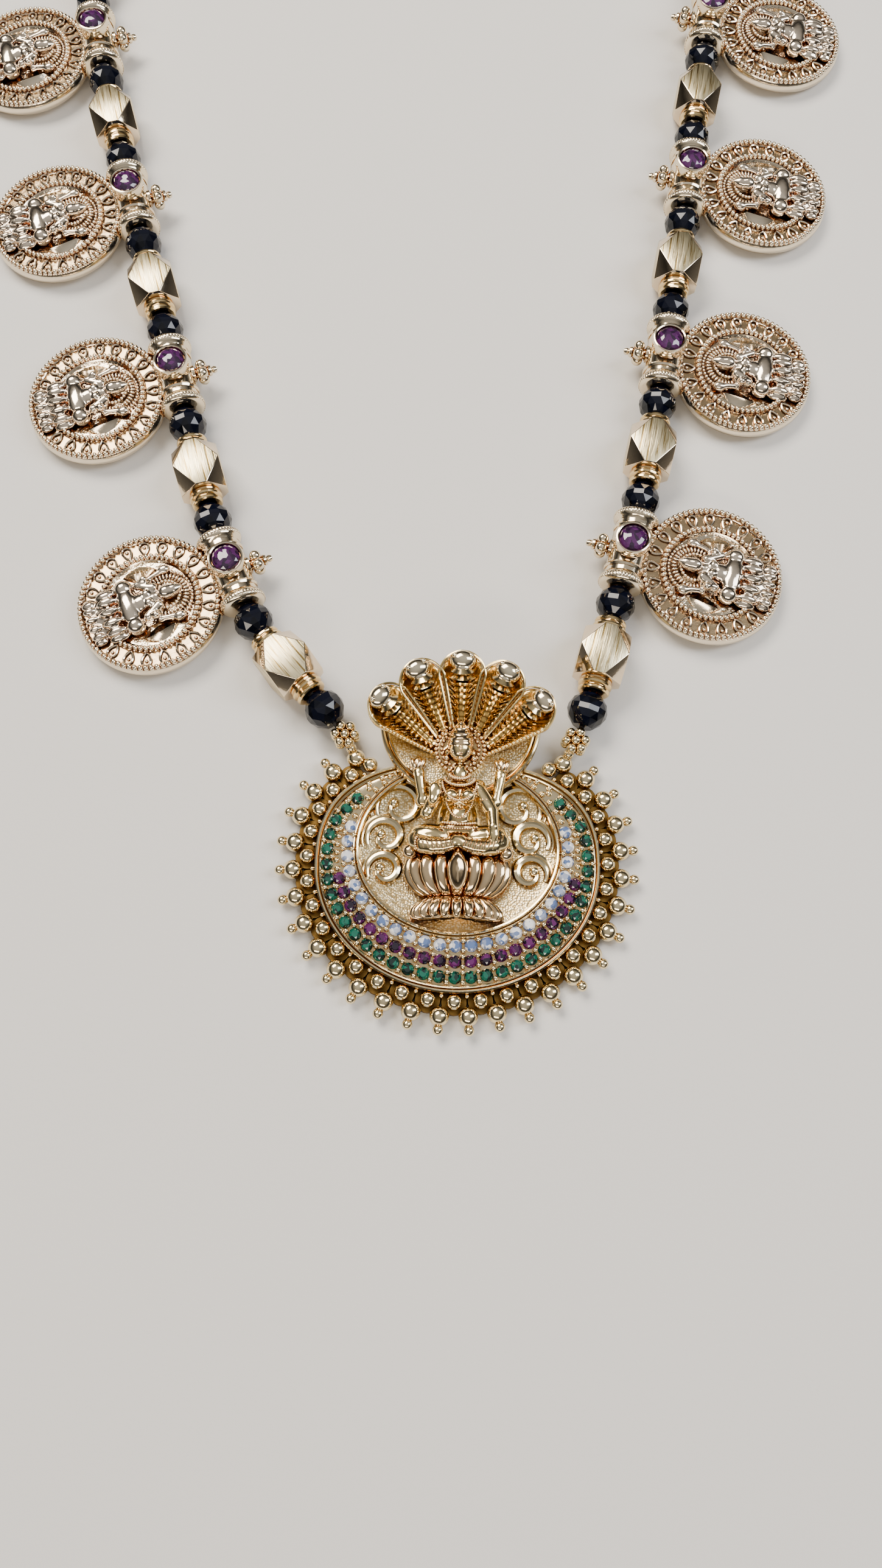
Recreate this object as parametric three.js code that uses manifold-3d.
// A temple jewellery necklace, laid flat: a pendant with a five-hooded serpent canopy over a seated goddess
// on a lotus, and a loop of black crystal beads, faceted gold beads and eight coin links with a stone each.
// Millimetres, +Z up, +Y from the pendant towards the back of the neck, +X to the right when seen from above.
import * as THREE from "three";
import { ConvexGeometry } from "three/addons/geometries/ConvexGeometry.js";
import { mergeVertices } from "three/addons/utils/BufferGeometryUtils.js";
import Module from "manifold-3d";

const wasm = await Module();
wasm.setup();

// Clearances, and the numbers of sides and steps that round things have.
const GAP = 0.3;
const BEAD_SIDES = 10;
const GRANULE_SIDES = 8;
const RELIEF_SIDES = 6;
const CURVE_STEPS = 10;
const COIN_SIDES = 16;
const FRAME_SIDES = 40;
const QUARTER = Math.PI / 2;

// The thread, and the bores it runs through.
const THREAD_RADIUS = 0.45;
const BORE_CLEARANCE = 0.35;
const BORE_RADIUS = THREAD_RADIUS + BORE_CLEARANCE;
const THREAD_SIDES = 6; // of the thread and its bores

// Black crystal bead, a faceted rondelle.
const BLACK_RADIUS = 3.15;
const BLACK_LENGTH = 5.4;
const BLACK_END_RADIUS = 1.7;

// Faceted gold bead: a long cuboid with its eight corners cut off, and a collar at each end.
const GOLD_HALF_WIDTH = 3.8;
const GOLD_BODY_LENGTH = 8.4;
const GOLD_END_EDGE = 0.24; // share of the half width that is left of each end edge
const COLLAR_RADIUS = 2.7;
const COLLAR_LENGTH = 2.2;
const GOLD_LENGTH = GOLD_BODY_LENGTH + 2 * COLLAR_LENGTH;

// Coin link: a flanged tube with a bezel on top, a finial on one side and a coin soldered to the other.
const LINK_LENGTH = 13.5;
const LINK_RADIUS = 2.75;
const FLANGE_RADIUS = 3.6;
const FLANGE_LENGTH = 1.5;
const BEZEL_RADIUS = 2.9;
const BEZEL_WALL = 0.55;
const BEZEL_TOP = 5.2;
const STONE_SEAT = 1.1;
const FINIAL_LENGTH = 3.9;
const FINIAL_STEM = 0.85;
const FINIAL_BALL = 1.5;
const COIN_RADIUS = 12;
const COIN_THICK = 2.9;
const COIN_OVERLAP = 0.9; // how far the coin's edge runs into the tube
const COIN_BORDER = 3.3; // width of the border between the two rope rims
const COIN_RECESS = 0.6;
const COIN_DROP = 0.5; // the coin's middle plane meets the tube this far below its axis

// The cut stone of a coin link.
const STONE_CROWN = 0.7;
const STONE_TABLE = 0.6; // share of the girdle's radius
const STONE_SIDES = 8;

// The string lies on the surface with the flat faces of its gold beads.
const STRING_HEIGHT = GOLD_HALF_WIDTH;
const UNITS_A_SIDE = 4; // coin links on each side

// Barrel clasp at the back of the neck.
const CLASP_RADIUS = 2.6;
const CLASP_LENGTH = 13;
const CLASP_GRIP = 4; // how far the string reaches into each mouth

// The pendant's frame: its outline is half an ellipse below and a squarer curve above.
const FRAME_HALF_WIDTH = 21.6;
const FRAME_DROP = 19.2;
const FRAME_RISE = 16.4;
const FRAME_SQUARENESS = 2.5;
const PLATE_THICK = 1.3;
const BAND_HEIGHT = 2.5;
const RIM_WIDTH = 0.8;
const RIM_HEIGHT = 3;
const BAND_AT_SIDE = 6.7; // width of the stone-set band at the sides, the foot and the top
const BAND_AT_FOOT = 9.1;
const BAND_AT_TOP = 1.2;

// The fringe: balls, each with a small tip ball, standing off the rim on a toothed skirt.
const FRINGE_COUNT = 28;
const FRINGE_OPENING = 0.62; // half the angle that stays free of fringe at the top, in radians
const FRINGE_BALL = 1.25;
const FRINGE_TIP = 0.7;
const FRINGE_LIFT = 0.15; // the balls' clearance above the surface
const FRINGE_STANDOFF = 3.3;
const SKIRT_THICK = 1.2;
const SKIRT_NOTCH = 2.1;

// Rosettes that the thread is tied into, at the first and last places of the fringe.
const ROSETTE_RING = 1.5;
const ROSETTE_LOBE = 0.78;
const ROSETTE_THICK = 3.2;
const ROSETTE_LIFT = 1;
const ROSETTE_STANDOFF = 7.1;

// Scrolls on the field beside the figure: where each curls, as shares of the field's half sizes, its radius.
const SCROLL_WIRE = 0.8;
const SCROLL_TURNS = 1.15;
const SCROLL_START = 0.1; // where a scroll's wire begins, in half turns
const SCROLL_TIGHTENING = 0.75; // share of its radius that a scroll loses towards its end
const SCROLL_STEPS = 7;
const SCROLLS = [
  { across: 0.56, along: 0.42, radius: 2.3 },
  { across: 0.71, along: 0.04, radius: 2.2 },
  { across: 0.7, along: -0.32, radius: 1.9 },
];

// The serpent canopy: five hoods fanned from a hub, and the round plate behind them.
const HOOD_COUNT = 5;
const HOOD_SPREAD = THREE.MathUtils.degToRad(27);
const HOOD_REACH = 15.7; // from the fan's hub to a head
const HOOD_START = 3;
const HOOD_HALF_WIDTH = 3.8;
const HOOD_THICK = 2.6;
const HOOD_HOLLOW = 1.7;
const HOOD_EDGE = 0.4; // what is left of a hood beside its hollow
const HOLLOW_HALF_LENGTH = 6.5;
const HOOD_LIFT = THREE.MathUtils.degToRad(14);
const HUB_RISE = 15; // the fan's hub above the pendant's widest line
const SERPENT_HEAD = 2; // radius; a head is a little narrower and flatter than it is long
const HEAD_NARROWNESS = 0.9;
const HEAD_FLATNESS = 0.8;
const SERPENT_NECK = 1.25;
const HALO_PLATE_RADIUS = 12.5;
const HALO_PLATE_RISE = 22.4;
const HALO_PLATE_THICK = 1.2;
const HALO_WIRE = 0.7;

// The goddess and her lotus, by their height in the figure, from the pendant's widest line.
const HEAD_RISE = 15.3;
const SHOULDER_RISE = 11.2;
const LAP_RISE = 2.9;
const FIGURE_DEPTH = 5.4; // from the field to the middle of her head
const CHEST_SETBACK = 1.6; // how far her arms' line lies behind the middle of her head
const HEAD_HALF_SIZE = [1.4, 1.75, 1.7];
const CROWN_RADIUS = 1.4;
const CROWN_TIP_RADIUS = 0.35;
const CROWN_HEIGHT = 4.4; // of its tip above the middle of her head
const NIMBUS_RADIUS = 3.6;
const NIMBUS_SETBACK = 1.4; // of its face behind the middle of her head
const NIMBUS_THICK = FIGURE_DEPTH - NIMBUS_SETBACK - 2;
const BUST_HALF_SIZE = [3, 2.4];
const WAIST_HALF_WIDTH = 2.3;
const LAP_HALF_WIDTH = 7.4;
const LAP_HALF_HEIGHT = 2.4;
const ARM_RADIUS = 0.75;
const FLOWER_HALF_SIZE = [1, 1.3, 1];

// Her arms, each with its points as steps outwards, up and forward from the middle of her shoulders.
const RAISED_ARM = [[2.2, 0, 0], [4.6, -4, 0.4], [4.3, -0.6, 1.4]];
const GIVING_ARM = [[2.2, 0, 0], [4.6, -4, 0.4], [4.3, -7.4, 1.4]];
const REAR_ARM = [[2.2, 0, -0.6], [5.6, -2.2, -1.2], [6.4, 2.6, -0.6]];
const FLOWER = [6.5, 3.1, -0.4];

// The lotus, by its heights in the figure and by the shares of its half width at each of them.
const LOTUS_HALF_WIDTH = 8.3;
const LOTUS_DEPTH = 5.2;
const LOTUS_TOP = 1.5;
const LOTUS_SHOULDER = -2.3;
const LOTUS_WAIST = -4.7;
const LOTUS_HEM = -7;
const LOTUS_FOOT = -8.2;
const TOP_SHARE = 0.84;
const SHOULDER_SHARE = 0.9;
const WAIST_SHARE = 0.6;
const HEM_SHARE = 0.78;
const FOOT_SHARE = 0.66;
const PETALS = 7;
const PETAL_RING = 0.8; // share of the lotus's half width at which the petals stand
const PETAL_HALF_WIDTH = 0.19; // shares of the lotus's half width
const PETAL_HALF_DEPTH = 0.22;

// The spine that joins the canopy's plate, the figure and the lotus, at its foot.
const SPINE_HALF_WIDTH = 3.2;

// The relief on a coin, as shares of its field's radius, with each dome's height: head, body and lotus.
const COIN_RELIEF = [
  { along: -0.35, size: [0.5, 0.36], height: 2.2 },
  { along: 0.15, size: [0.45, 0.34], height: 2.9 },
  { along: 0.6, size: [0.34, 0.62], height: 3.3 },
];

// Finishes.
const GOLD = { color: 0xd9b978, roughness: 0.22, metalness: 1 };
const CRYSTAL = { color: 0x0a0d1c, roughness: 0.08, metalness: 0 };
const AMETHYST = { color: 0x4a1236, roughness: 0.1, metalness: 0 };
const THREAD = { color: 0x1b1612, roughness: 0.8, metalness: 0 };

// A closed geometry as a solid, turned the right way out.
function solidOf(geometry) {
  const bare = new THREE.BufferGeometry().setAttribute("position", geometry.getAttribute("position"));
  bare.setIndex(geometry.index);
  const merged = mergeVertices(bare, 1e-4);
  const vertProperties = merged.getAttribute("position").array;
  const triVerts = new Uint32Array(merged.index.array);
  const made = new wasm.Manifold(new wasm.Mesh({ numProp: 3, vertProperties, triVerts }));
  if (made.volume() > 0) return made;
  triVerts.reverse();
  return new wasm.Manifold(new wasm.Mesh({ numProp: 3, vertProperties, triVerts }));
}

function geometryOf(made) {
  const { vertProperties, triVerts } = made.getMesh();
  const geometry = new THREE.BufferGeometry();
  geometry.setAttribute("position", new THREE.BufferAttribute(Float32Array.from(vertProperties), 3));
  geometry.setIndex(Array.from(triVerts));
  return geometry;
}

function joined(geometries) {
  return geometryOf(geometries.map(solidOf).reduce((whole, next) => whole.add(next)));
}

function cut(geometry, ...tools) {
  return geometryOf(tools.map(solidOf).reduce((whole, tool) => whole.subtract(tool), solidOf(geometry)));
}

function common(first, second) {
  return geometryOf(solidOf(first).intersect(solidOf(second)));
}

// A solid turned about the Y axis from [radius, y] pairs.
function turned(profile, sides) {
  return new THREE.LatheGeometry(profile.map(([radius, y]) => new THREE.Vector2(radius, y)), sides);
}

function extruded(shape, depth, curveSegments = CURVE_STEPS) {
  return new THREE.ExtrudeGeometry(shape, { depth, bevelEnabled: false, curveSegments });
}

function ball(radius) {
  return new THREE.SphereGeometry(radius, GRANULE_SIDES, 4);
}

// A rounded lump with its own half size along each axis.
function lump([x, y, z], [halfX, halfY, halfZ], sides = RELIEF_SIDES) {
  return new THREE.SphereGeometry(1, sides, 3).scale(halfX, halfY, halfZ).translate(x, y, z);
}

// A dome that rises from a flat base.
function dome([x, y, z], [halfX, halfY, height], sides = RELIEF_SIDES) {
  const profile = [[0, 0], [1, 0], [0.65, 0.75], [0, 1]];
  return turned(profile, sides).rotateX(QUARTER).scale(halfX, halfY, height).translate(x, y, z);
}

// A straight tapered limb between two points.
function limb(from, to, fromRadius, toRadius, sides = RELIEF_SIDES) {
  const start = new THREE.Vector3(...from);
  const run = new THREE.Vector3(...to).sub(start);
  const geometry = new THREE.CylinderGeometry(toRadius, fromRadius, run.length(), sides);
  const middle = start.addScaledVector(run, 0.5);
  const turn = new THREE.Quaternion().setFromUnitVectors(new THREE.Vector3(0, 1, 0), run.normalize());
  return geometry.applyMatrix4(new THREE.Matrix4().compose(middle, turn, new THREE.Vector3(1, 1, 1)));
}

// The bore that the thread runs through, along Y.
function bore(length) {
  return turned([[0, -length], [BORE_RADIUS, -length], [BORE_RADIUS, length], [0, length]], THREAD_SIDES);
}

function blackBead() {
  const end = BLACK_LENGTH / 2;
  const profile = [[0, -end], [BLACK_END_RADIUS, -end], [BLACK_RADIUS, 0], [BLACK_END_RADIUS, end], [0, end]];
  return turned(profile, BEAD_SIDES);
}

// What is left of a long cuboid when each corner is cut off down to the middle of its long edge.
function goldBody() {
  const wide = GOLD_HALF_WIDTH;
  const short = GOLD_HALF_WIDTH * GOLD_END_EDGE;
  const end = GOLD_BODY_LENGTH / 2;
  const corners = [];
  for (const x of [-1, 1])
    for (const z of [-1, 1]) {
      corners.push(new THREE.Vector3(x * wide, 0, z * wide));
      for (const y of [-end, end]) {
        corners.push(new THREE.Vector3(x * wide, y, z * short));
        corners.push(new THREE.Vector3(x * short, y, z * wide));
      }
    }
  return new ConvexGeometry(corners);
}

function goldBead() {
  const end = GOLD_LENGTH / 2;
  const collars = turned([[0, -end], [COLLAR_RADIUS, -end], [COLLAR_RADIUS, end], [0, end]], GRANULE_SIDES);
  return joined([goldBody(), collars]);
}

// The gold bead of the back, drawn out to take in its collars.
function plainGoldBead() {
  return goldBody().scale(1, GOLD_LENGTH / GOLD_BODY_LENGTH, 1);
}

function linkTube() {
  const end = LINK_LENGTH / 2;
  const shoulder = end - FLANGE_LENGTH;
  const profile = [
    [0, -end], [FLANGE_RADIUS, -end], [LINK_RADIUS, -shoulder], [LINK_RADIUS, shoulder],
    [FLANGE_RADIUS, end], [0, end],
  ];
  return turned(profile, BEAD_SIDES);
}

// The cup that holds the stone, standing on the tube along Z.
function bezel() {
  const inner = BEZEL_RADIUS - BEZEL_WALL;
  const floor = BEZEL_TOP - STONE_SEAT;
  const profile = [
    [0, 0], [BEZEL_RADIUS, 0], [BEZEL_RADIUS, BEZEL_TOP], [inner, BEZEL_TOP], [inner, floor], [0, floor],
  ];
  return turned(profile, GRANULE_SIDES).rotateX(QUARTER);
}

// A stem with a ring of small balls, drawn as one knob, and a pointed tip, out of the tube along -X.
function finial() {
  const start = LINK_RADIUS - COIN_OVERLAP;
  const knob = LINK_RADIUS + FINIAL_LENGTH * 0.45;
  const tip = LINK_RADIUS + FINIAL_LENGTH;
  const profile = [
    [0, start], [FINIAL_STEM, start], [FINIAL_STEM, knob - FINIAL_BALL / 2], [FINIAL_BALL, knob], [0, tip],
  ];
  return turned(profile, RELIEF_SIDES).rotateZ(QUARTER);
}

// The coin in its own frame, facing +Z with its middle plane at 0: bevelled back, raised border, sunk field.
function coinDisc() {
  const half = COIN_THICK / 2;
  const inner = COIN_RADIUS - COIN_BORDER;
  const profile = [
    [0, -half], [COIN_RADIUS - half, -half], [COIN_RADIUS, 0], [COIN_RADIUS, half], [inner, half],
    [inner - RIM_WIDTH, half - COIN_RECESS], [0, half - COIN_RECESS],
  ];
  return turned(profile, COIN_SIDES).rotateX(QUARTER);
}

// The relief on a coin: a small seated goddess, her head towards the tube (-X) and her lotus away from it.
function coinRelief() {
  const base = COIN_THICK / 2 - COIN_RECESS - GAP;
  const field = COIN_RADIUS - COIN_BORDER;
  return COIN_RELIEF.map(({ along, size: [halfX, halfY], height }) =>
    dome([along * field, 0, base], [halfX * field, halfY * field, height]));
}

// The coin's centre is this far from the tube's axis, and it tips until its far edge lies on the surface.
const COIN_CENTRE = LINK_RADIUS - COIN_OVERLAP + COIN_RADIUS;
const COIN_TILT = Math.asin(
  (STRING_HEIGHT - COIN_DROP - COIN_THICK / 2) / (COIN_CENTRE + COIN_RADIUS - COIN_THICK / 2),
);

function coinLink() {
  const coin = joined([coinDisc(), ...coinRelief()])
    .translate(COIN_CENTRE, 0, 0)
    .rotateY(COIN_TILT)
    .translate(0, 0, -COIN_DROP);
  return cut(joined([linkTube(), bezel(), finial(), coin]), bore(LINK_LENGTH));
}

// The stone as it lies in its bezel: flat back, girdle, crown facets and table.
function linkStone() {
  const girdle = BEZEL_RADIUS - BEZEL_WALL - GAP;
  const low = BEZEL_TOP - STONE_SEAT + GAP;
  const high = BEZEL_TOP - GAP;
  const top = high + STONE_CROWN;
  const profile = [[0, low], [girdle, low], [girdle, high], [girdle * STONE_TABLE, top], [0, top]];
  return joined([turned(profile, STONE_SIDES).rotateX(QUARTER)]);
}

// The route of each half of the string, as steps across and along from its rosette's centre to a mouth of the
// clasp. These points are chosen: they follow how the necklace lies, and then close the loop plainly.
const LEFT_ROUTE = [
  [-2.6, 3.1], [-9.3, 10.6], [-15.3, 17.9], [-19.8, 26.2], [-25.6, 42.3], [-31.4, 61.3], [-37.4, 81],
  [-43.2, 99.5], [-48.6, 118.5], [-53.8, 137.5], [-57.2, 155], [-58.6, 180], [-50.5, 210.5], [-28.2, 232.8],
  [-4.2, 240],
];
const RIGHT_ROUTE = [
  [1.6, 3.9], [3.9, 12.6], [6.2, 22], [8.4, 30.6], [12.4, 49], [15.2, 66.5], [18, 85.5], [20.5, 103.5],
  [22.8, 122.5], [25.6, 141.5], [27.6, 155], [29, 180], [20.9, 210.5], [-1.4, 232.8], [-25.4, 240],
];

// A point of the pendant's outline, moved out of it by a distance, at an angle from +X about the centre.
function outlinePoint(angle, out = 0) {
  const across = Math.cos(angle);
  const along = Math.sin(angle);
  const power = 2 / (along > 0 ? FRAME_SQUARENESS : 2);
  const half = along > 0 ? FRAME_RISE : FRAME_DROP;
  return new THREE.Vector2(
    Math.sign(across) * (FRAME_HALF_WIDTH + out) * Math.abs(across) ** power,
    Math.sign(along) * (half + out) * Math.abs(along) ** power,
  );
}

function outline(out) {
  const angles = Array.from({ length: FRAME_SIDES }, (_, n) => (n * 2 * Math.PI) / FRAME_SIDES);
  return new THREE.Shape(angles.map((angle) => outlinePoint(angle, out)));
}

// The sunk field inside the band is an ellipse that hangs from near the top of the outline.
const FIELD_HALF_WIDTH = FRAME_HALF_WIDTH - BAND_AT_SIDE;
const FIELD_HALF_HEIGHT = (FRAME_RISE + FRAME_DROP - BAND_AT_FOOT - BAND_AT_TOP) / 2;
const FIELD_RISE = (FRAME_RISE - BAND_AT_TOP - FRAME_DROP + BAND_AT_FOOT) / 2;

function fieldOutline(out) {
  const halfWidth = FIELD_HALF_WIDTH + out;
  const halfHeight = FIELD_HALF_HEIGHT + out;
  return new THREE.Shape().absellipse(0, FIELD_RISE, halfWidth, halfHeight, 0, 2 * Math.PI);
}

// The places of the fringe, evenly spaced along the curve that its balls stand on: a point and the way out.
function fringePlaces() {
  const steps = 720;
  const start = QUARTER + FRINGE_OPENING;
  const sweep = 2 * (Math.PI - FRINGE_OPENING);
  const path = [];
  let length = 0;
  for (let n = 0; n <= steps; n++) {
    const point = outlinePoint(start + (sweep * n) / steps, FRINGE_STANDOFF);
    if (n) length += point.distanceTo(path[n - 1].point);
    path.push({ point, length });
  }
  return Array.from({ length: FRINGE_COUNT }, (_, n) => {
    const wanted = (length * n) / (FRINGE_COUNT - 1) - 1e-9;
    const at = Math.max(1, path.findIndex((step) => step.length >= wanted));
    const along = path[at].point.clone().sub(path[at - 1].point).normalize();
    return { point: path[at].point, out: new THREE.Vector2(along.y, -along.x) };
  });
}

const FRINGE = fringePlaces();
const FRINGE_END = { left: FRINGE[0], right: FRINGE[FRINGE_COUNT - 1] };

// A ball and its tip ball in one turned shape, pointing the way out.
function fringeDrop({ point, out }) {
  const tip = FRINGE_BALL + FRINGE_TIP;
  const profile = [
    [0, -FRINGE_BALL], [FRINGE_BALL, 0], [FRINGE_TIP / 2, FRINGE_BALL],
    [FRINGE_TIP, tip], [0, tip + FRINGE_TIP],
  ];
  return turned(profile, GRANULE_SIDES)
    .rotateZ(Math.atan2(out.y, out.x) - QUARTER)
    .translate(point.x, point.y, FRINGE_BALL + FRINGE_LIFT);
}

// The toothed skirt under the fringe: it reaches out to each ball and back between them.
function skirt() {
  const points = FRINGE.flatMap(({ point, out }, n) => {
    const next = FRINGE[n + 1];
    if (!next) return [point];
    const between = point.clone().add(next.point).multiplyScalar(0.5);
    return [point, between.addScaledVector(out.clone().add(next.out).normalize(), -SKIRT_NOTCH)];
  });
  points.push(outlinePoint(QUARTER - FRINGE_OPENING, -RIM_WIDTH));
  points.push(outlinePoint(QUARTER + FRINGE_OPENING, -RIM_WIDTH));
  return extruded(new THREE.Shape(points), SKIRT_THICK);
}

// The centre of a rosette, at the height of its bore.
function rosetteCentre(word) {
  const { point, out } = FRINGE_END[word];
  const centre = point.clone().addScaledVector(out, ROSETTE_STANDOFF - FRINGE_STANDOFF);
  return new THREE.Vector3(centre.x, centre.y, ROSETTE_LIFT + ROSETTE_THICK / 2);
}

// A flower of six lobes round a middle, on a stem from the last ball of the fringe, bored towards the string.
function rosette(word, toward) {
  const shape = new THREE.Shape();
  for (let n = 0; n < 6; n++) {
    const angle = (n * Math.PI) / 3;
    const x = ROSETTE_RING * Math.cos(angle);
    const y = ROSETTE_RING * Math.sin(angle);
    shape.absarc(x, y, ROSETTE_LOBE, angle - QUARTER, angle + QUARTER, false);
  }
  const centre = rosetteCentre(word);
  const { point } = FRINGE_END[word];
  const flower = extruded(shape, ROSETTE_THICK, 1).translate(centre.x, centre.y, ROSETTE_LIFT);
  const root = [point.x, point.y, FRINGE_BALL];
  const stem = limb(root, [centre.x, centre.y, ROSETTE_LIFT + ROSETTE_LOBE], ROSETTE_LOBE, ROSETTE_LOBE);
  const seat = ball(FRINGE_BALL).translate(point.x, point.y, FRINGE_BALL + FRINGE_LIFT);
  const reach = toward.clone().sub(centre).normalize();
  const turn = new THREE.Quaternion().setFromUnitVectors(new THREE.Vector3(0, 1, 0), reach);
  const mouth = centre.clone().addScaledVector(reach, ROSETTE_RING);
  const hole = bore(ROSETTE_RING + ROSETTE_LOBE).applyQuaternion(turn).translate(mouth.x, mouth.y, mouth.z);
  return cut(joined([flower, stem, seat]), hole);
}

// A scroll of the field's vine: a wire that winds inwards.
class ScrollCurve extends THREE.Curve {
  constructor(side, { across, along, radius }) {
    super();
    this.side = side;
    this.centre = new THREE.Vector2(across * FIELD_HALF_WIDTH, FIELD_RISE + along * FIELD_HALF_HEIGHT);
    this.radius = radius;
  }

  getPoint(t, target = new THREE.Vector3()) {
    const angle = Math.PI * (SCROLL_START + 2 * SCROLL_TURNS * t);
    const radius = this.radius * (1 - SCROLL_TIGHTENING * t);
    const x = this.centre.x + radius * Math.cos(angle);
    return target.set(this.side * x, this.centre.y + radius * Math.sin(angle), PLATE_THICK);
  }
}

function scroll(side, place) {
  const half = SCROLL_WIRE / 2;
  const section = new THREE.Shape().moveTo(half, -half).lineTo(half, half).lineTo(-SCROLL_WIRE, 0);
  const extrudePath = new ScrollCurve(side, place);
  return new THREE.ExtrudeGeometry(section, { steps: SCROLL_STEPS, bevelEnabled: false, extrudePath });
}

function pendantFrame(rosettes) {
  const tall = 2 * RIM_HEIGHT;
  const band = extruded(outline(0), BAND_HEIGHT);
  const rim = cut(extruded(outline(0), RIM_HEIGHT), extruded(outline(-RIM_WIDTH), tall).translate(0, 0, -1));
  const innerRim = common(extruded(fieldOutline(RIM_WIDTH), RIM_HEIGHT), extruded(outline(0), tall));
  const field = extruded(fieldOutline(0), tall).translate(0, 0, PLATE_THICK);
  const scrolls = [-1, 1].flatMap((side) => SCROLLS.map((place) => scroll(side, place)));
  const within = common(joined(scrolls), extruded(fieldOutline(RIM_WIDTH / 2), tall));
  const dish = cut(joined([band, rim, innerRim]), field);
  return joined([dish, within, skirt(), ...FRINGE.slice(1, -1).map(fringeDrop), ...rosettes]);
}

// One hood of the canopy: a cupped petal that widens from the hub to its round end, a neck and a head.
function hood(index) {
  const end = HOOD_REACH - HOOD_HALF_WIDTH / 3;
  const shape = new THREE.Shape();
  shape.moveTo(-HOOD_HALF_WIDTH / 4, HOOD_START).lineTo(HOOD_HALF_WIDTH / 4, HOOD_START);
  shape.lineTo(HOOD_HALF_WIDTH, end).absarc(0, end, HOOD_HALF_WIDTH, 0, Math.PI, false);
  const hollow = [HOOD_HALF_WIDTH - HOOD_EDGE, HOLLOW_HALF_LENGTH, 2 * HOOD_HOLLOW];
  const cup = lump([0, end - 1, HOOD_THICK + HOOD_HOLLOW], hollow);
  const petal = cut(extruded(shape, HOOD_THICK, 4), cup);
  const nape = [0, HOOD_REACH, HOOD_THICK];
  const neck = limb([0, 2 * HOOD_START, HOOD_THICK / 2], nape, SERPENT_NECK, SERPENT_NECK);
  const head = ball(SERPENT_HEAD).scale(HEAD_NARROWNESS, 1, HEAD_FLATNESS).translate(...nape);
  return joined([petal, neck, head])
    .rotateX(HOOD_LIFT)
    .rotateZ(((HOOD_COUNT - 1) / 2 - index) * HOOD_SPREAD)
    .translate(0, HUB_RISE, RIM_HEIGHT + GAP);
}

// The lotus is turned about Y and flattened: an upper tier with a row of petals, a waist and a lower tier.
function lotus() {
  const half = LOTUS_HALF_WIDTH;
  const profile = [
    [0, LOTUS_FOOT], [FOOT_SHARE * half, LOTUS_FOOT], [HEM_SHARE * half, LOTUS_HEM],
    [WAIST_SHARE * half, LOTUS_WAIST], [SHOULDER_SHARE * half, LOTUS_SHOULDER],
    [TOP_SHARE * half, LOTUS_TOP], [0, LOTUS_TOP],
  ];
  const ring = PETAL_RING * half;
  const rise = (LOTUS_TOP + LOTUS_WAIST) / 2;
  const petal = [PETAL_HALF_WIDTH * half, (LOTUS_TOP - LOTUS_WAIST) / 2 + GAP, PETAL_HALF_DEPTH * half];
  const petals = Array.from({ length: PETALS }, (_, n) => {
    const angle = (Math.PI * (n + 0.5)) / PETALS;
    return lump([ring * Math.cos(angle), rise, ring * Math.sin(angle)], petal);
  });
  return joined([turned(profile, BEAD_SIDES), ...petals])
    .scale(1, 1, LOTUS_DEPTH / half)
    .translate(0, 0, PLATE_THICK + GAP);
}

// One arm on one side of her: from the shoulder to the elbow and on to the hand.
function arm(side, steps, chest) {
  const [shoulder, elbow, hand] = steps.map((step) => besideChest(side, step, chest));
  return [
    limb(shoulder, elbow, ARM_RADIUS * 1.15, ARM_RADIUS),
    limb(elbow, hand, ARM_RADIUS, ARM_RADIUS * 0.85),
  ];
}

// A point by its steps outwards, up and forward from the middle of her shoulders.
function besideChest(side, [out, up, forward], chest) {
  return [side * out, SHOULDER_RISE + up, chest + forward];
}

// The goddess, in plain rounded forms from the lap up: two rear arms with flowers, a raised and a giving one.
function goddess() {
  const base = PLATE_THICK + GAP;
  const head = base + FIGURE_DEPTH;
  const chest = head - CHEST_SETBACK;
  const arms = [-1, 1].flatMap((side) => [
    ...arm(side, side < 0 ? RAISED_ARM : GIVING_ARM, chest),
    ...arm(side, REAR_ARM, chest),
    lump(besideChest(side, FLOWER, chest), FLOWER_HALF_SIZE),
  ]);
  const nimbus = head - NIMBUS_SETBACK;
  const behindHead = [0, HEAD_RISE, nimbus - NIMBUS_THICK];
  const belly = (SHOULDER_RISE + LAP_RISE) / 2;
  const bellyHalfHeight = (SHOULDER_RISE - LAP_RISE) / 1.7;
  return joined([
    limb(behindHead, [0, HEAD_RISE, nimbus], NIMBUS_RADIUS, NIMBUS_RADIUS, BEAD_SIDES),
    lump([0, HEAD_RISE, head], HEAD_HALF_SIZE),
    limb([0, HEAD_RISE + 1, head - 0.4], [0, HEAD_RISE + CROWN_HEIGHT, head - 0.8],
      CROWN_RADIUS, CROWN_TIP_RADIUS),
    dome([0, SHOULDER_RISE - 0.6, base], [...BUST_HALF_SIZE, FIGURE_DEPTH + 0.2]),
    dome([0, belly, base], [WAIST_HALF_WIDTH, bellyHalfHeight, FIGURE_DEPTH - 0.6]),
    dome([0, LAP_RISE, base], [LAP_HALF_WIDTH, LAP_HALF_HEIGHT, FIGURE_DEPTH + 0.4], GRANULE_SIDES),
    ...arms,
  ]);
}

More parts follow.
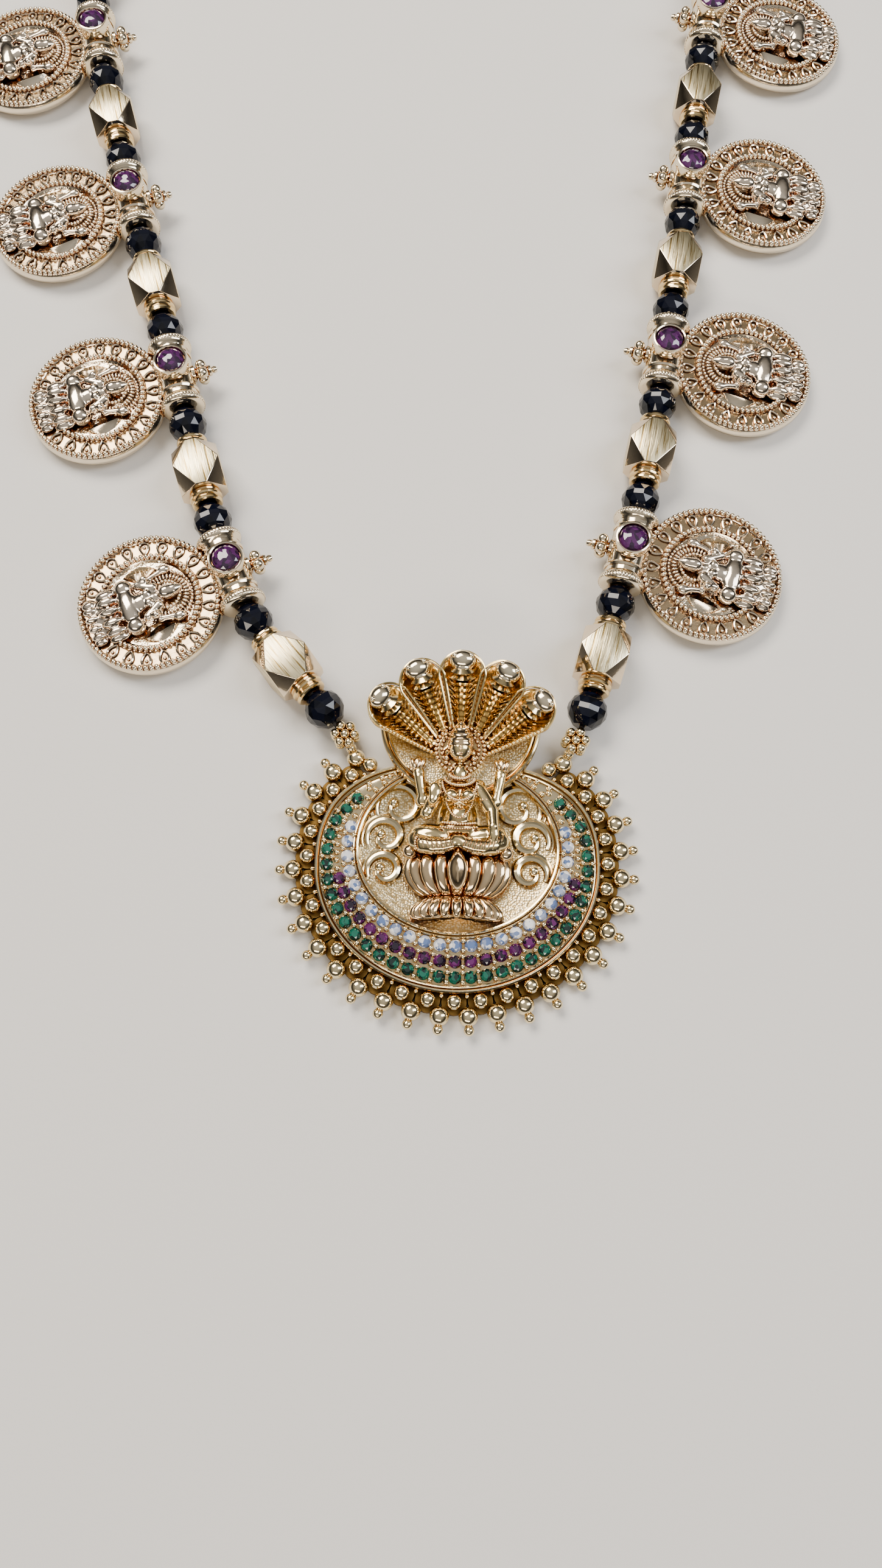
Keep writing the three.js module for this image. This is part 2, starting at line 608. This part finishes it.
// The plate behind the canopy and the figure, which lies over the frame's rims and reaches into its field.
function castingBack() {
  const low = PLATE_THICK + GAP;
  const high = RIM_HEIGHT + GAP;
  const disc = new THREE.Shape().absarc(0, HALO_PLATE_RISE, HALO_PLATE_RADIUS, Math.PI, 2 * Math.PI, false);
  const within = HALO_PLATE_RADIUS - HALO_WIRE;
  const dip = new THREE.Shape().absarc(0, HALO_PLATE_RISE, within, 0, 2 * Math.PI, false);
  const sunk = extruded(dip, HALO_PLATE_THICK).translate(0, 0, HALO_PLATE_THICK);
  const halo = cut(extruded(disc, HALO_PLATE_THICK + HALO_WIRE), sunk);
  const spine = new THREE.Shape();
  spine.moveTo(-SPINE_HALF_WIDTH, LOTUS_WAIST).lineTo(SPINE_HALF_WIDTH, LOTUS_WAIST);
  spine.lineTo(LAP_HALF_WIDTH - 1, SHOULDER_RISE + 1).lineTo(1 - LAP_HALF_WIDTH, SHOULDER_RISE + 1);
  const thick = high + HALO_PLATE_THICK / 2 - low;
  return [halo.translate(0, 0, high), extruded(spine, thick).translate(0, 0, low)];
}

function figureCasting() {
  const hoods = Array.from({ length: HOOD_COUNT }, (_, n) => hood(n));
  const whole = joined([...castingBack(), ...hoods, lotus(), goddess()]);
  const above = extruded(outline(2 * HALO_PLATE_RADIUS), 2 * HOOD_REACH).translate(0, 0, PLATE_THICK + GAP);
  const cavity = extruded(fieldOutline(-GAP), 2 * RIM_HEIGHT).translate(0, 0, PLATE_THICK);
  return cut(common(whole, above), cut(extruded(outline(GAP), RIM_HEIGHT + GAP), cavity));
}

// The string's line: it rises from the rosette's bore to the height of the beads and runs on to the clasp.
function routeOf(word) {
  const start = rosetteCentre(word);
  const steps = word === "left" ? LEFT_ROUTE : RIGHT_ROUTE;
  const points = steps.map(
    ([across, along]) => new THREE.Vector3(start.x + across, start.y + along, STRING_HEIGHT),
  );
  points[0].z -= GAP / 2;
  const curve = new THREE.CatmullRomCurve3([start, ...points], false, "centripetal");
  curve.arcLengthDivisions = 2000;
  return curve;
}

// What is strung on one side, in order from the pendant, then as many plain beads as reach the clasp.
function stringing(length) {
  const pieces = [];
  let at = ROSETTE_RING + ROSETTE_LOBE + GAP;
  const put = (kind, size) => {
    pieces.push({ kind, from: at, to: at + size });
    at += size + GAP;
  };
  for (let unit = 0; unit < UNITS_A_SIDE; unit++) {
    put("black", BLACK_LENGTH);
    put("gold", GOLD_LENGTH);
    put("black", BLACK_LENGTH);
    put("link", LINK_LENGTH);
  }
  put("black", BLACK_LENGTH);
  const pair = BLACK_LENGTH + GOLD_LENGTH + 2 * GAP;
  const pairs = Math.floor((length - at) / pair);
  const spare = (length - at - pairs * pair) / (2 * pairs);
  for (let n = 0; n < pairs; n++)
    for (const [kind, size] of [["back_gold", GOLD_LENGTH], ["back_black", BLACK_LENGTH]]) {
      at += spare;
      put(kind, size);
    }
  return pieces;
}

// Where a piece sits between two lengths of the route: its Y axis along the string, its X axis outwards.
function seat(route, { from, to }, word) {
  const length = route.getLength();
  const start = route.getPointAt(from / length);
  const end = route.getPointAt(to / length);
  const along = end.clone().sub(start).normalize();
  if (word === "left") along.negate();
  const up = new THREE.Vector3(0, 0, 1).addScaledVector(along, -along.z).normalize();
  const across = along.clone().cross(up);
  return new THREE.Matrix4().makeBasis(across, along, up).setPosition(start.add(end).multiplyScalar(0.5));
}

// The thread bends only between the pieces on it, so that it stays in the middle of their bores.
class ThreadCurve extends THREE.Curve {
  constructor(joints) {
    super();
    this.joints = joints;
  }

  getPoint(t, target = new THREE.Vector3()) {
    const last = this.joints.length - 2;
    const place = t * (last + 1);
    const before = Math.min(Math.floor(place + 1e-9), last);
    return target.lerpVectors(this.joints[before], this.joints[before + 1], place - before);
  }

  getUtoTmapping(u) {
    return u;
  }
}

// A length of thread through the given points.
function threadOf(joints) {
  const section = new THREE.Shape().absarc(0, 0, THREAD_RADIUS, 0, 2 * Math.PI, false);
  const extrudePath = new ThreadCurve(joints);
  const steps = joints.length - 1;
  const curveSegments = THREAD_SIDES / 2;
  return new THREE.ExtrudeGeometry(section, { steps, bevelEnabled: false, extrudePath, curveSegments });
}

function claspBarrel() {
  const end = CLASP_LENGTH / 2;
  const waist = CLASP_RADIUS * 0.8;
  const barrel = turned([[0, -end], [waist, -end], [CLASP_RADIUS, 0], [waist, end], [0, end]], BEAD_SIDES);
  return cut(barrel, bore(CLASP_LENGTH));
}

function meshOf(name, geometry, finish, place = new THREE.Matrix4()) {
  const flat = geometry.index ? geometry.toNonIndexed() : geometry;
  flat.computeVertexNormals();
  const mesh = new THREE.Mesh(flat, new THREE.MeshStandardMaterial(finish));
  mesh.name = name;
  mesh.applyMatrix4(place);
  return mesh;
}

const necklace = new THREE.Group();
necklace.name = "temple_necklace";

const front = {
  black: { name: "black_bead", geometry: cut(blackBead(), bore(BLACK_LENGTH)), finish: CRYSTAL },
  gold: { name: "gold_bead", geometry: cut(goldBead(), bore(GOLD_LENGTH)), finish: GOLD },
  link: { name: "coin_link", geometry: coinLink(), finish: GOLD },
};
const back = { back_gold: plainGoldBead(), back_black: blackBead() };
const stone = linkStone();
const rosettes = [];

const routes = { left: routeOf("left"), right: routeOf("right") };
const mouths = { left: routes.left.getPoint(1), right: routes.right.getPoint(1) };
const claspAxis = mouths.right.clone().sub(mouths.left).normalize();
const claspCentre = mouths.left.clone().add(mouths.right).multiplyScalar(0.5);
const claspTurn = new THREE.Quaternion().setFromUnitVectors(new THREE.Vector3(0, 1, 0), claspAxis);
const claspPlace = new THREE.Matrix4().compose(claspCentre, claspTurn, new THREE.Vector3(1, 1, 1));
necklace.add(meshOf("clasp", claspBarrel(), GOLD, claspPlace));

for (const [word, route] of Object.entries(routes)) {
  const length = route.getLength();
  const at = (place) => route.getPointAt(place / length);
  const pieces = stringing(length);
  const frontPieces = pieces.filter(({ kind }) => kind in front);
  const backPieces = pieces.filter(({ kind }) => kind in back);
  rosettes.push(rosette(word, at(frontPieces[0].from)));

  const counts = { black: 0, gold: 0, link: 0 };
  for (const piece of frontPieces) {
    const place = seat(route, piece, word);
    const number = ++counts[piece.kind];
    const { name, geometry, finish } = front[piece.kind];
    necklace.add(meshOf(`${name}_${word}_${number}`, geometry, finish, place));
    if (piece.kind === "link") necklace.add(meshOf(`link_stone_${word}_${number}`, stone, AMETHYST, place));
  }

  const bends = frontPieces.map(({ from }) => from - GAP / 2);
  const thread = threadOf([ROSETTE_LOBE, ...bends, frontPieces.at(-1).to].map(at));
  necklace.add(meshOf(`thread_${word}`, thread, THREAD));

  const beads = backPieces.map((piece) => back[piece.kind].clone().applyMatrix4(seat(route, piece, word)));
  const core = backPieces.map(({ from, to }) => at((from + to) / 2));
  const inClasp = mouths[word].clone().addScaledVector(claspAxis, word === "left" ? CLASP_GRIP : -CLASP_GRIP);
  const wholeCore = threadOf([...core, mouths[word], inClasp]);
  necklace.add(meshOf(`back_string_${word}`, joined([wholeCore, ...beads]), GOLD));
}
necklace.add(meshOf("pendant_frame", pendantFrame(rosettes), GOLD));
necklace.add(meshOf("figure_casting", figureCasting(), GOLD));

// The origin is on the surface, under the middle of the whole.
const box = new THREE.Box3().setFromObject(necklace, true);
necklace.position.set(-(box.min.x + box.max.x) / 2, -(box.min.y + box.max.y) / 2, -box.min.z);

export default necklace;
